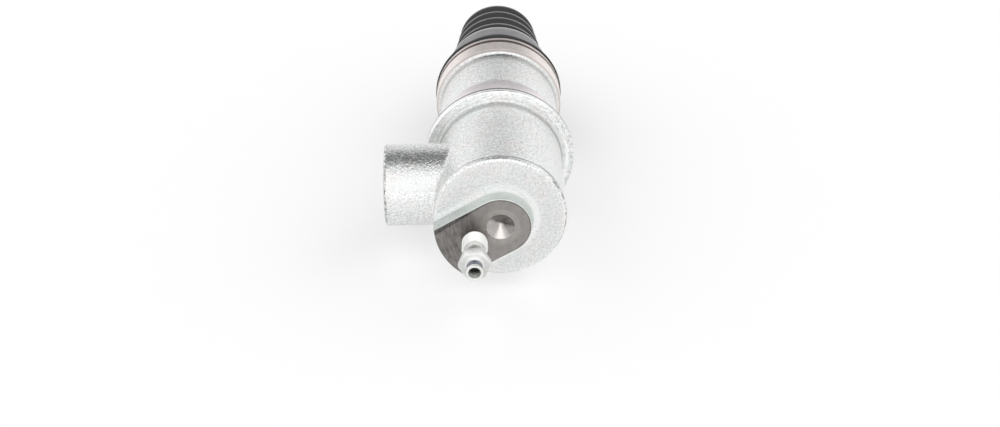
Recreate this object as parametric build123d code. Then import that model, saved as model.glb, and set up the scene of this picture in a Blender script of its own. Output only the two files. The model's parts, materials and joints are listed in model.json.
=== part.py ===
from build123d import *
import os
from math import cos, radians, sin, sqrt, tan

# Clutch slave cylinder, in millimetres.
# The cylinder's axis is Y. Its closed end, with the bleed screw, is at -Y and the pushrod at +Y.
# The fluid port's boss points to -X, and +Z is up as the cylinder lies in the photograph.
# The origin is on the axis, at the middle of the turned land that locates it in the housing.

# Collar at the open end: the turned land, the circlip groove and the last narrow land
LAND_RADIUS = 26.35
LAND_LENGTH = 7.4
LAND_CHAMFER = 0.5
GROOVE_DEPTH = 1.5
GROOVE_WIDTH = 2.15
END_LAND = 1.75

# Neck that carries the boot
NECK_RADIUS = 20.0
NECK_LENGTH = 10.8
BEAD_RADIUS = 19.0
BEAD_WIDTH = 2.0
BEAD_SETBACK = 1.0

# Cast waist, turned pilot and flange
WAIST_STEP = 2.0
WAIST_LENGTH = 24.5
WAIST_FILLET = 0.8
COLLAR_BEVEL = 0.9
PILOT_STEP = 3.8
PILOT_LENGTH = 12.4
PILOT_TAPER = 5.4
FLANGE_RADIUS = 30.0
FLANGE_THICKNESS = 3.0
FLANGE_ROUND = 0.8
FLANGE_FILLET = 1.6

# Closed head, with a thicker rim round its crowned end
HEAD_STEP = 5.0
HEAD_LENGTH = 46.5
RIM_STEP = 0.6
RIM_THICKNESS = 1.9
RIM_ROUND = 1.6
CROWN_HEIGHT = 1.5

# Pad on the closed end: it is milled flat and carries the bleed screw and the centre mark
PAD_RADIUS = 11.9
PAD_HEIGHT = 9.0
PAD_ANGLE = 30.0
PAD_DRAFT = 10.0
PAD_CHAMFER = 0.3
CENTRE_RADIUS = 5.5
CENTRE_HALF_ANGLE = 60.0

# Side boss with the threaded fluid port
PORT_DISTANCE = 25.3
PORT_BOSS_RADIUS = 16.2
PORT_REACH = 45.1
PORT_CHAMFER = 0.8
PORT_FILLET = 2.2
PORT_RADIUS = 6.25
PORT_DEPTH = 14.0
PORT_MOUTH_CHAMFER = 0.9
PORT_PASSAGE_RADIUS = 3.0

# Bore and its mouth
BORE_RADIUS = 15.875
BORE_FILLET = 1.2
END_WALL = 14.0
MOUTH_RADIUS = 17.0
MOUTH_DEPTH = 7.4
MOUTH_CHAMFER = 0.4
RUNNING_CLEARANCE = 0.06

# Bleed hole and screw
BLEED_OFFSET = 12.0
BLEED_ANGLE = 34.0
BLEED_HOLE_DEPTH = 13.0
BLEED_THREAD_RADIUS = 5.0
BLEED_CLEARANCE = 0.05
BLEED_PASSAGE_RADIUS = 1.6
BLEED_SEAT_HALF_ANGLE = 45.0
BLEED_RELIEF_RADIUS = 4.1
BLEED_RELIEF_LENGTH = 2.4
BLEED_TIP_RADIUS = 1.9
BLEED_THREAD_PROUD = 6.3
BLEED_NECK_RADIUS = 3.5
BLEED_NECK_LENGTH = 6.9
BLEED_HEX_ACROSS_FLATS = 11.0
BLEED_HEX_LENGTH = 4.4
BLEED_HEX_TURN = 5.4
BLEED_NIPPLE_RADIUS = 2.85
BLEED_NIPPLE_LENGTH = 4.9
BLEED_BARB_RADIUS = 3.35
BLEED_BARB_LENGTH = 1.3
BLEED_MOUTH_RADIUS = 2.3
BLEED_MOUTH_DEPTH = 5.0
BLEED_DRILL_RADIUS = 1.2
BLEED_CROSS_HOLE_RADIUS = 0.8

# Piston, with grooves for its guide band and wiper
PISTON_LENGTH = 38.5
PISTON_CHAMFER = 0.6
PISTON_WAIST_DEPTH = 1.0
PISTON_FRONT_LAND = 7.0
BAND_DEPTH = 1.4
BAND_WIDTH = 4.0
BAND_SETBACK = 10.0
WIPER_DEPTH = 2.0
WIPER_WIDTH = 2.4
WIPER_SETBACK = 2.6
GROOVE_PLAY = 0.1
SOCKET_RADIUS = 9.5
SOCKET_DEPTH = 17.0
STOP_GAP = 0.05

# Main cup seal, its expander and the return spring
CUP_LENGTH = 7.0
CUP_BASE = 3.0
CUP_LIP = 1.6
CUP_LIP_ROOT = 3.2
EXPANDER_THICKNESS = 0.8
EXPANDER_RADIUS = 11.4
EXPANDER_COLLAR_RADIUS = 7.8
EXPANDER_COLLAR_LENGTH = 4.0
SPRING_WIRE = 1.7
SPRING_MEAN_RADIUS = 9.4
SPRING_TURNS = 7

# Ring and circlip that keep the piston in the bore
STOP_WASHER_THICKNESS = 1.5
STOP_WASHER_HOLE = 12.5
CIRCLIP_THICKNESS = 1.4
CIRCLIP_GROOVE_RADIUS = 17.9
CIRCLIP_BAND = 2.6
CIRCLIP_EAR_RADIUS = 2.1
CIRCLIP_EAR_HOLE = 0.9
CIRCLIP_EAR_ANGLE = 12.0

# Pushrod and the clip that keeps its ball in the piston
BALL_RADIUS = 5.5
BALL_CLEARANCE = 0.08
ROD_NECK_RADIUS = 3.6
ROD_NECK_LENGTH = 11.0
ROD_RADIUS = 4.75
ROD_GROOVE_DEPTH = 0.75
ROD_GROOVE_PLAY = 2.2
ROD_BEYOND_BOOT = 13.0
CLIP_THICKNESS = 0.9
CLIP_HOLE_RADIUS = 4.6
CLIP_OUTER_RADIUS = 10.1
CLIP_SLOTS = 6
CLIP_SLOT_WIDTH = 1.4

# Rubber boot
BOOT_LIP_RADIUS = 26.2
BOOT_LIP_LENGTH = 2.4
BOOT_LIP_ROUND = 0.7
SLEEVE_WALL = 1.9
SLEEVE_LENGTH = 20.1
CREST_COUNT = 5
CREST_PITCH = 8.5
CREST_RADIUS = 19.9
CREST_STEP = 1.0
CREST_LAND = 1.0
FOLD_DEPTH = 3.8
BOOT_END_WALL = 1.6
BOOT_GRIP_LENGTH = 5.0
BOOT_GRIP_WALL = 2.5
BOOT_GRIP_CLEARANCE = 0.08

# Radii that follow from others
waist_radius = LAND_RADIUS - WAIST_STEP
pilot_radius = FLANGE_RADIUS - PILOT_STEP
head_radius = FLANGE_RADIUS - HEAD_STEP
rim_radius = head_radius + RIM_STEP

# Stations along the axis, worked out from the origin in both directions
land_front = -LAND_LENGTH / 2
land_back = LAND_LENGTH / 2
groove_back = land_back + GROOVE_WIDTH
shoulder = groove_back + END_LAND
mouth = shoulder + NECK_LENGTH
collar_front = land_front - COLLAR_BEVEL
waist_front = collar_front - WAIST_LENGTH
pilot_back = waist_front - PILOT_TAPER
flange_back = pilot_back - PILOT_LENGTH
flange_front = flange_back - FLANGE_THICKNESS
rim_back = flange_front - HEAD_LENGTH
rim_front = rim_back - RIM_THICKNESS
crown_top = rim_front - CROWN_HEIGHT
pad_face = rim_back - PAD_HEIGHT
port_y = rim_back + PORT_DISTANCE
bore_bottom = rim_back + END_WALL
bleed_seat = pad_face + BLEED_HOLE_DEPTH
stop_seat = mouth - MOUTH_DEPTH
stop_back = stop_seat + STOP_WASHER_THICKNESS
circlip_back = stop_back + CIRCLIP_THICKNESS
piston_back = stop_seat - STOP_GAP
piston_front = piston_back - PISTON_LENGTH
piston_radius = BORE_RADIUS - RUNNING_CLEARANCE
socket_floor = piston_back - SOCKET_DEPTH
cup_front = piston_front - CUP_LENGTH
cup_floor = piston_front - CUP_BASE
expander_face = cup_floor - EXPANDER_THICKNESS
sleeve_end = shoulder + SLEEVE_LENGTH

# The ball sits so that the clip on the socket's floor closes in just behind it
ball_grip = sqrt((BALL_RADIUS + BALL_CLEARANCE) ** 2 - CLIP_HOLE_RADIUS ** 2)
ball_y = socket_floor - ball_grip

# Where the bleed screw stands on the pad
bleed_x = -BLEED_OFFSET * cos(radians(BLEED_ANGLE))
bleed_z = -BLEED_OFFSET * sin(radians(BLEED_ANGLE))


def turned(corners):
    """Solid of revolution about the Y axis from corners (radius, y) or (radius, y, rounding)."""
    section = make_face(Polyline(*[corner[:2] for corner in corners], close=True))
    for radius, y, *rounding in corners:
        if rounding:
            section = fillet(section.vertices().sort_by_distance((radius, y, 0))[0], rounding[0])
    return revolve(section, Axis.Y)


def across(y):
    """Plane across the axis at y, seen from the closed end: +X to the right and +Z up."""
    return Plane(origin=(0, y, 0), x_dir=(1, 0, 0), z_dir=(0, -1, 0))


def along_y(sketch, start, end):
    """Prism of a sketch in X and Z from y = start to y = end."""
    return extrude(across(end) * sketch, end - start)


def at_bleed(solid):
    """The solid moved from the cylinder's axis to the bleed screw's."""
    return Pos(bleed_x, 0, bleed_z) * solid


def head_and_barrel():
    """The casting's turned outline, from the crowned end to the boot's neck."""
    barrel = turned([
        (0, rim_front),
        (rim_radius, rim_front, RIM_ROUND),
        (rim_radius, rim_back),
        (head_radius, rim_back),
        (head_radius, flange_front, FLANGE_FILLET),
        (FLANGE_RADIUS, flange_front, FLANGE_ROUND),
        (FLANGE_RADIUS, flange_back, FLANGE_ROUND / 2),
        (pilot_radius, flange_back),
        (pilot_radius, pilot_back),
        (waist_radius, waist_front),
        (waist_radius, collar_front, WAIST_FILLET),
        (LAND_RADIUS - LAND_CHAMFER, land_front),
        (LAND_RADIUS, land_front + LAND_CHAMFER),
        (LAND_RADIUS, land_back),
        (LAND_RADIUS - GROOVE_DEPTH, land_back),
        (LAND_RADIUS - GROOVE_DEPTH, groove_back),
        (LAND_RADIUS, groove_back),
        (LAND_RADIUS, shoulder),
        (NECK_RADIUS, shoulder),
        (NECK_RADIUS, shoulder + BEAD_SETBACK),
        (BEAD_RADIUS, shoulder + BEAD_SETBACK),
        (BEAD_RADIUS, shoulder + BEAD_SETBACK + BEAD_WIDTH),
        (NECK_RADIUS, shoulder + BEAD_SETBACK + BEAD_WIDTH),
        (NECK_RADIUS - MOUTH_CHAMFER, mouth),
        (0, mouth),
    ])
    # The crown is the shallow cap of a large ball, as wide as the end inside its rounded rim
    crown_radius = rim_radius - RIM_ROUND
    ball_radius = (crown_radius ** 2 + CROWN_HEIGHT ** 2) / (2 * CROWN_HEIGHT)
    cap = Pos(0, crown_top + ball_radius, 0) * Sphere(ball_radius)
    cap &= along_y(Circle(crown_radius), crown_top, rim_front)
    return barrel + cap


def end_pad():
    """Raised pad with one round end on the axis, running out to the rim below -X."""
    run = rim_radius + PAD_RADIUS
    outline = Circle(PAD_RADIUS) + Rot(0, 0, 180 + PAD_ANGLE) * Pos(run / 2, 0) * Rectangle(run, 2 * PAD_RADIUS)
    pad = extrude(across(pad_face) * outline, -(rim_back - pad_face), taper=-PAD_DRAFT)
    pad &= along_y(Circle(rim_radius), pad_face, rim_back)
    return chamfer(pad.faces().sort_by(Axis.Y)[0].edges(), PAD_CHAMFER)


def port_boss():
    """Round side boss that carries the fluid port."""
    boss = Plane(origin=(0, port_y, 0), z_dir=(-1, 0, 0)) * extrude(Circle(PORT_BOSS_RADIUS), PORT_REACH)
    return chamfer(boss.edges().sort_by(Axis.X)[0], PORT_CHAMFER)


def main_bore():
    """The bore, its mouth and the groove for the circlip inside the mouth."""
    return turned([
        (0, bore_bottom),
        (BORE_RADIUS, bore_bottom, BORE_FILLET),
        (BORE_RADIUS, stop_seat),
        (MOUTH_RADIUS, stop_seat),
        (MOUTH_RADIUS, stop_back),
        (CIRCLIP_GROOVE_RADIUS, stop_back),
        (CIRCLIP_GROOVE_RADIUS, circlip_back + GROOVE_PLAY),
        (MOUTH_RADIUS, circlip_back + GROOVE_PLAY),
        (MOUTH_RADIUS, mouth - MOUTH_CHAMFER),
        (MOUTH_RADIUS + MOUTH_CHAMFER, mouth),
        (0, mouth),
    ])


def centre_mark():
    """Shallow drilled point on the axis, which the turning centre ran in."""
    depth = CENTRE_RADIUS / tan(radians(CENTRE_HALF_ANGLE))
    return turned([(0, pad_face), (CENTRE_RADIUS, pad_face), (0, pad_face + depth)])


def bleed_hole():
    """Tapped hole for the bleed screw, its conical seat and the passage into the bore."""
    hole_radius = BLEED_THREAD_RADIUS + BLEED_CLEARANCE
    seat_depth = (hole_radius - BLEED_PASSAGE_RADIUS) / tan(radians(BLEED_SEAT_HALF_ANGLE))
    return at_bleed(turned([
        (0, pad_face),
        (hole_radius, pad_face),
        (hole_radius, bleed_seat),
        (BLEED_PASSAGE_RADIUS, bleed_seat + seat_depth),
        (BLEED_PASSAGE_RADIUS, bore_bottom + BORE_FILLET),
        (0, bore_bottom + BORE_FILLET),
    ]))


def fluid_port():
    """Tapped port in the end of the side boss, and its passage into the bore."""
    face = Plane(origin=(-PORT_REACH, port_y, 0), z_dir=(1, 0, 0))
    tapping = face * extrude(Circle(PORT_RADIUS), PORT_DEPTH)
    lead_in = face * extrude(Circle(PORT_RADIUS + PORT_MOUTH_CHAMFER), PORT_MOUTH_CHAMFER, taper=45)
    passage = face * extrude(Circle(PORT_PASSAGE_RADIUS), PORT_REACH)
    return tapping + lead_in + passage


def cylinder_body():
    """The iron casting with all its machined faces and holes."""
    casting = head_and_barrel() + port_boss()
    seam = casting.edges().filter_by(GeomType.BSPLINE)
    casting = fillet(seam, PORT_FILLET)
    casting += end_pad()
    casting -= main_bore()
    casting -= centre_mark()
    casting -= bleed_hole()
    casting -= fluid_port()
    return casting


def bleed_screw():
    """Hollow bleed screw, from its seat cone out to the barb for the bleed hose."""
    slope = tan(radians(BLEED_SEAT_HALF_ANGLE))
    hole_radius = BLEED_THREAD_RADIUS + BLEED_CLEARANCE
    passage_y = bleed_seat + (hole_radius - BLEED_PASSAGE_RADIUS) / slope - 2 * BLEED_CLEARANCE
    tip = passage_y - (BLEED_TIP_RADIUS - BLEED_PASSAGE_RADIUS) / slope
    cone_back = tip - (BLEED_RELIEF_RADIUS - BLEED_TIP_RADIUS) / slope
    thread_back = cone_back - BLEED_RELIEF_LENGTH
    thread_front = pad_face - BLEED_THREAD_PROUD
    hex_back = thread_front - BLEED_NECK_LENGTH
    hex_front = hex_back - BLEED_HEX_LENGTH
    end = hex_front - BLEED_NIPPLE_LENGTH
    barb_step = BLEED_BARB_RADIUS - BLEED_NIPPLE_RADIUS
    mouth_chamfer = (BLEED_BARB_RADIUS - BLEED_MOUTH_RADIUS) / 3
    shank = turned([
        (0, tip),
        (BLEED_TIP_RADIUS, tip),
        (BLEED_RELIEF_RADIUS, cone_back),
        (BLEED_RELIEF_RADIUS, thread_back),
        (BLEED_THREAD_RADIUS, thread_back - (BLEED_THREAD_RADIUS - BLEED_RELIEF_RADIUS)),
        (BLEED_THREAD_RADIUS, thread_front, mouth_chamfer),
        (BLEED_NECK_RADIUS, thread_front),
        (BLEED_NECK_RADIUS, hex_back),
        (BLEED_NIPPLE_RADIUS, hex_back),
        (BLEED_NIPPLE_RADIUS, end + BLEED_BARB_LENGTH + 2 * barb_step),
        (BLEED_BARB_RADIUS, end + BLEED_BARB_LENGTH),
        (BLEED_BARB_RADIUS, end, mouth_chamfer),
        (0, end),
    ])
    # The hexagon stands nearly level, with a corner to each side, and both its ends are chamfered
    corner_radius = BLEED_HEX_ACROSS_FLATS / sqrt(3)
    flat_radius = BLEED_HEX_ACROSS_FLATS / 2
    bevel = (corner_radius - flat_radius) / 2
    hexagon = along_y(Rot(0, 0, BLEED_HEX_TURN) * RegularPolygon(corner_radius, 6), hex_front, hex_back)
    hexagon &= turned([
        (0, hex_front),
        (flat_radius - bevel, hex_front),
        (corner_radius, hex_front + 2 * bevel),
        (corner_radius, hex_back - bevel),
        (flat_radius, hex_back),
        (0, hex_back),
    ])
    drilling = turned([
        (0, end),
        (BLEED_MOUTH_RADIUS + mouth_chamfer / 2, end),
        (BLEED_MOUTH_RADIUS, end + mouth_chamfer),
        (BLEED_MOUTH_RADIUS, end + BLEED_MOUTH_DEPTH),
        (BLEED_DRILL_RADIUS, end + BLEED_MOUTH_DEPTH + BLEED_DRILL_RADIUS),
        (BLEED_DRILL_RADIUS, cone_back),
        (0, cone_back),
    ])
    cross_y = cone_back - BLEED_RELIEF_LENGTH / 2
    cross_hole = Pos(0, cross_y, 0) * Cylinder(BLEED_CROSS_HOLE_RADIUS, 2 * BLEED_THREAD_RADIUS)
    return at_bleed(shank + hexagon - drilling - cross_hole)


def piston():
    """Aluminium piston with two ring grooves, a relieved middle and a deep pushrod socket."""
    wiper_back = piston_back - WIPER_SETBACK
    wiper_front = wiper_back - WIPER_WIDTH - GROOVE_PLAY
    band_back = piston_back - BAND_SETBACK
    band_front = band_back - BAND_WIDTH - GROOVE_PLAY
    relief_back = band_front - BAND_WIDTH / 2
    relief_front = piston_front + PISTON_FRONT_LAND
    relief_radius = piston_radius - PISTON_WAIST_DEPTH
    blank = turned([
        (0, piston_front),
        (piston_radius - PISTON_CHAMFER, piston_front),
        (piston_radius, piston_front + PISTON_CHAMFER),
        (piston_radius, relief_front),
        (relief_radius, relief_front + PISTON_WAIST_DEPTH),
        (relief_radius, relief_back - PISTON_WAIST_DEPTH),
        (piston_radius, relief_back),
        (piston_radius, band_front),
        (piston_radius - BAND_DEPTH, band_front),
        (piston_radius - BAND_DEPTH, band_back),
        (piston_radius, band_back),
        (piston_radius, wiper_front),
        (piston_radius - WIPER_DEPTH, wiper_front),
        (piston_radius - WIPER_DEPTH, wiper_back),
        (piston_radius, wiper_back),
        (piston_radius, piston_back - PISTON_CHAMFER),
        (piston_radius - PISTON_CHAMFER, piston_back),
        (0, piston_back),
    ])
    seat_radius = BALL_RADIUS + BALL_CLEARANCE
    socket = turned([
        (0, ball_y),
        (seat_radius, ball_y),
        (seat_radius, socket_floor),
        (CLIP_OUTER_RADIUS, socket_floor),
        (CLIP_OUTER_RADIUS, socket_floor + CLIP_THICKNESS + GROOVE_PLAY),
        (SOCKET_RADIUS, socket_floor + CLIP_THICKNESS + GROOVE_PLAY),
        (SOCKET_RADIUS, piston_back - PISTON_CHAMFER),
        (SOCKET_RADIUS + PISTON_CHAMFER, piston_back),
        (0, piston_back),
    ])
    return blank - socket - Pos(0, ball_y, 0) * Sphere(seat_radius)


def ring(outer, inner, front, back):
    """Plain ring about the axis."""
    return turned([(inner, front), (outer, front), (outer, back), (inner, back)])


def piston_guide_band():
    """Plastic band that carries the piston in the bore."""
    back = piston_back - BAND_SETBACK - GROOVE_PLAY / 2
    outer = piston_radius + RUNNING_CLEARANCE / 2
    return ring(outer, piston_radius - BAND_DEPTH, back - BAND_WIDTH, back)


def piston_wiper_seal():
    """Rubber ring near the piston's open end, with a raised wiping edge."""
    back = piston_back - WIPER_SETBACK - GROOVE_PLAY / 2
    front = back - WIPER_WIDTH
    outer = piston_radius + RUNNING_CLEARANCE / 2
    return turned([
        (piston_radius - WIPER_DEPTH, front),
        (outer - WIPER_WIDTH / 4, front),
        (outer, back - WIPER_WIDTH / 2),
        (outer, back - WIPER_WIDTH / 4),
        (outer - WIPER_WIDTH / 4, back),
        (piston_radius - WIPER_DEPTH, back),
    ])


def piston_cup_seal():
    """Main rubber cup: a thick base against the piston and a thin lip towards the fluid."""
    outer = piston_radius + RUNNING_CLEARANCE / 2
    return turned([
        (0, cup_floor),
        (outer - CUP_LIP_ROOT, cup_floor),
        (outer - CUP_LIP, cup_front),
        (outer, cup_front, CUP_LIP / 3),
        (outer, piston_front, CUP_LIP / 3),
        (0, piston_front),
    ])


def cup_expander():
    """Pressed plate in the cup, with a collar that centres the spring."""
    inner = EXPANDER_COLLAR_RADIUS - EXPANDER_THICKNESS
    collar_front = cup_floor - EXPANDER_COLLAR_LENGTH
    return turned([
        (inner, collar_front),
        (EXPANDER_COLLAR_RADIUS, collar_front),
        (EXPANDER_COLLAR_RADIUS, expander_face),
        (EXPANDER_RADIUS, expander_face, EXPANDER_THICKNESS / 4),
        (EXPANDER_RADIUS, cup_floor),
        (0, cup_floor),
        (0, expander_face),
        (inner, expander_face),
    ])


def return_spring():
    """Light spring between the bore's bottom and the expander, ground flat at both ends."""
    length = expander_face - bore_bottom
    coil = Helix(
        pitch=length / SPRING_TURNS,
        height=length,
        radius=SPRING_MEAN_RADIUS,
        center=(0, bore_bottom, 0),
        direction=(0, 1, 0),
    )
    section = Plane(origin=coil @ 0, z_dir=coil % 0) * Circle(SPRING_WIRE / 2)
    wire = sweep(section, path=coil, is_frenet=True)
    return wire & along_y(Circle(BORE_RADIUS), bore_bottom, expander_face)


def stop_washer():
    """Ring in the mouth that the piston rests on."""
    outer = MOUTH_RADIUS - RUNNING_CLEARANCE
    return ring(outer, STOP_WASHER_HOLE, stop_seat, stop_back)


def stop_circlip():
    """Internal circlip with two eared ends, sprung into the mouth's groove."""
    outer = CIRCLIP_GROOVE_RADIUS - RUNNING_CLEARANCE
    inner = outer - CIRCLIP_BAND
    ear_path = inner - CIRCLIP_EAR_RADIUS / 3
    ears = [
        Rot(0, 0, 90 + side * CIRCLIP_EAR_ANGLE) * Pos(ear_path, 0)
        for side in (-1, 1)
    ]
    outline = Circle(outer) - Circle(inner)
    for ear in ears:
        outline += ear * Circle(CIRCLIP_EAR_RADIUS)
    for ear in ears:
        outline -= ear * Circle(CIRCLIP_EAR_HOLE)
    gap = 2 * (ear_path * sin(radians(CIRCLIP_EAR_ANGLE)) - CIRCLIP_EAR_RADIUS)
    outline -= Pos(0, outer) * Rectangle(gap, 2 * (outer - inner + CIRCLIP_EAR_RADIUS * 2))
    return along_y(outline, stop_back, circlip_back)


def boot_crests():
    """Radius and place of the sleeve's edge and of each fold's crest beyond it."""
    crests = [(NECK_RADIUS + SLEEVE_WALL, sleeve_end)]
    for i in range(1, CREST_COUNT):
        crests.append((CREST_RADIUS - (i - 1) * CREST_STEP, sleeve_end + i * CREST_PITCH))
    return crests


def boot_folds(shift):
    """Corners of the folded wall, moved inwards by shift."""
    crests = boot_crests()
    corners = []
    for i, (radius, y) in enumerate(crests):
        corners.append((radius - shift, y - CREST_LAND / 2))
        corners.append((radius - shift, y + CREST_LAND / 2))
        if i + 1 < CREST_COUNT:
            valley = crests[i + 1][0] + CREST_STEP / 2 - FOLD_DEPTH - shift
            corners.append((valley, y + CREST_PITCH / 2 - CREST_LAND / 2))
            corners.append((valley, y + CREST_PITCH / 2 + CREST_LAND / 2))
    return corners


def boot_end():
    """Place of the boot's closing wall: its outside, next to the last crest."""
    return sleeve_end + (CREST_COUNT - 1) * CREST_PITCH + CREST_LAND / 2 + BOOT_END_WALL


def boot():
    """Moulded rubber boot: lip, sleeve on the neck, folds and the grip on the rod."""
    bead_front = shoulder + BEAD_SETBACK
    bead_back = bead_front + BEAD_WIDTH
    end_y = boot_end()
    grip_inner = ROD_RADIUS - ROD_GROOVE_DEPTH + BOOT_GRIP_CLEARANCE
    grip_outer = grip_inner + BOOT_GRIP_WALL
    outside = [
        (BOOT_LIP_RADIUS, shoulder),
        (BOOT_LIP_RADIUS, shoulder + BOOT_LIP_LENGTH, BOOT_LIP_ROUND),
        (NECK_RADIUS + SLEEVE_WALL, shoulder + BOOT_LIP_LENGTH),
    ] + boot_folds(0) + [
        (grip_outer, end_y),
        (grip_outer, end_y + BOOT_GRIP_LENGTH),
        (grip_inner, end_y + BOOT_GRIP_LENGTH),
    ]
    inside = boot_folds(SLEEVE_WALL)
    inside.reverse()
    return turned(
        outside
        + [(grip_inner, end_y - BOOT_END_WALL)]
        + inside
        + [
            (NECK_RADIUS, bead_back),
            (BEAD_RADIUS, bead_back),
            (BEAD_RADIUS, bead_front),
            (NECK_RADIUS, bead_front),
            (NECK_RADIUS, shoulder),
        ]
    )


def pushrod():
    """Steel rod with a ball in the piston and a round tip for the release fork."""
    rod_start = ball_y + BALL_RADIUS + ROD_NECK_LENGTH
    groove_front = boot_end() - BOOT_END_WALL - BOOT_GRIP_CLEARANCE
    groove_end = boot_end() + BOOT_GRIP_LENGTH + ROD_GROOVE_PLAY
    groove_radius = ROD_RADIUS - ROD_GROOVE_DEPTH
    tip_centre = boot_end() + BOOT_GRIP_LENGTH + ROD_BEYOND_BOOT - ROD_RADIUS
    shaft = turned([
        (0, ball_y),
        (ROD_NECK_RADIUS, ball_y),
        (ROD_NECK_RADIUS, rod_start),
        (ROD_RADIUS, rod_start + 2 * (ROD_RADIUS - ROD_NECK_RADIUS)),
        (ROD_RADIUS, groove_front),
        (groove_radius, groove_front),
        (groove_radius, groove_end),
        (ROD_RADIUS, groove_end),
        (ROD_RADIUS, tip_centre),
        (0, tip_centre),
    ])
    return shaft + Pos(0, ball_y, 0) * Sphere(BALL_RADIUS) + Pos(0, tip_centre, 0) * Sphere(ROD_RADIUS)


def pushrod_clip():
    """Slotted spring washer on the socket's floor that keeps the ball in."""
    slot_length = (SOCKET_RADIUS - CLIP_HOLE_RADIUS) / 2
    outline = Circle(CLIP_OUTER_RADIUS - RUNNING_CLEARANCE) - Circle(CLIP_HOLE_RADIUS)
    outline -= PolarLocations(CLIP_HOLE_RADIUS + slot_length / 2, CLIP_SLOTS) * Rectangle(
        2 * slot_length, CLIP_SLOT_WIDTH
    )
    return along_y(outline, socket_floor, socket_floor + CLIP_THICKNESS)


pieces = {
    "cylinder_body": cylinder_body,
    "bleed_screw": bleed_screw,
    "piston": piston,
    "piston_guide_band": piston_guide_band,
    "piston_wiper_seal": piston_wiper_seal,
    "piston_cup_seal": piston_cup_seal,
    "cup_expander": cup_expander,
    "return_spring": return_spring,
    "stop_washer": stop_washer,
    "stop_circlip": stop_circlip,
    "boot": boot,
    "pushrod": pushrod,
    "pushrod_clip": pushrod_clip,
}

os.makedirs("parts", exist_ok=True)
for name, make in pieces.items():
    export_step(make(), f"parts/{name}.step")
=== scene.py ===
import json
import math

import bmesh
import bpy
from mathutils import Matrix, Vector


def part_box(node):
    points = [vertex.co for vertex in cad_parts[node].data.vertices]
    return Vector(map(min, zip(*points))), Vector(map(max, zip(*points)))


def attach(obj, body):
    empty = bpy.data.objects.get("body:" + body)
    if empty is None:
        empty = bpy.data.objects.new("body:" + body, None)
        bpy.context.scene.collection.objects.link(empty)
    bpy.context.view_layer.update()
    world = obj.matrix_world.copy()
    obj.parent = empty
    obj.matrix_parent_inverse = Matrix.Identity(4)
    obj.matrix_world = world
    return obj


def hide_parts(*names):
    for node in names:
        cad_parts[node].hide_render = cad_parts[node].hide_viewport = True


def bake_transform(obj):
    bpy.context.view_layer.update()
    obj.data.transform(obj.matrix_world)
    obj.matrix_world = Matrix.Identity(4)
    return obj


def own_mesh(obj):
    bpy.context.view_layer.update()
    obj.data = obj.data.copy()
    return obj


bl_info = {
    "name": "Clutch slave cylinder",
    "version": (1, 0, 0),
    "blender": (4, 5, 0),
    "location": "View3D > Sidebar > Slave cylinder",
    "description": "Dresses the cylinder's solids: zinc-plated casting, bleed screw, rubber boot and stage",
    "category": "Object",
}

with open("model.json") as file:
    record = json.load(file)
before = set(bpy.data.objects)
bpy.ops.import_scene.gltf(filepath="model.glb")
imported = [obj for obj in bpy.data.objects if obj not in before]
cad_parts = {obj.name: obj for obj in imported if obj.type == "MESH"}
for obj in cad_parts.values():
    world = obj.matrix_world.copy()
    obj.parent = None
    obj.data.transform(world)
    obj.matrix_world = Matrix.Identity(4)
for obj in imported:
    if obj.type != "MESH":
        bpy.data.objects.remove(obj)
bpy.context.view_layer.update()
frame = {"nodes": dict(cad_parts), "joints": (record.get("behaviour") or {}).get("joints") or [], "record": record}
nodes = frame["nodes"]
mm = 0.001


def joint_named(name):
    """The joint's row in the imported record."""
    return next(joint for joint in frame["joints"] if joint["name"] == name)


def mount_named(name):
    """The mount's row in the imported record."""
    return next(mount for mount in frame["record"]["mounts"] if mount["name"] == name)


# Stations and radii in metres, read from the frame
body_low, body_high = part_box("cylinder_body")
boot_low, boot_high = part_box("boot")
screw_low, screw_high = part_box("bleed_screw")
spring_low, spring_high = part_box("return_spring")
flange_radius = body_high.x
flange_back = mount_named("flange_seat")["pos_m"][1]
land_radius = mount_named("housing_register")["dims"]["r_mm"] * mm
port = mount_named("hose_port")
port_y = port["pos_m"][1]
port_radius = port["dims"]["r_mm"] * mm
pad_face = body_low.y
screw_x = (screw_low.x + screw_high.x) / 2
screw_z = (screw_low.z + screw_high.z) / 2
shoulder = boot_low.y
piston_stroke = -joint_named("piston_travel")["range_m"][0]


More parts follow.
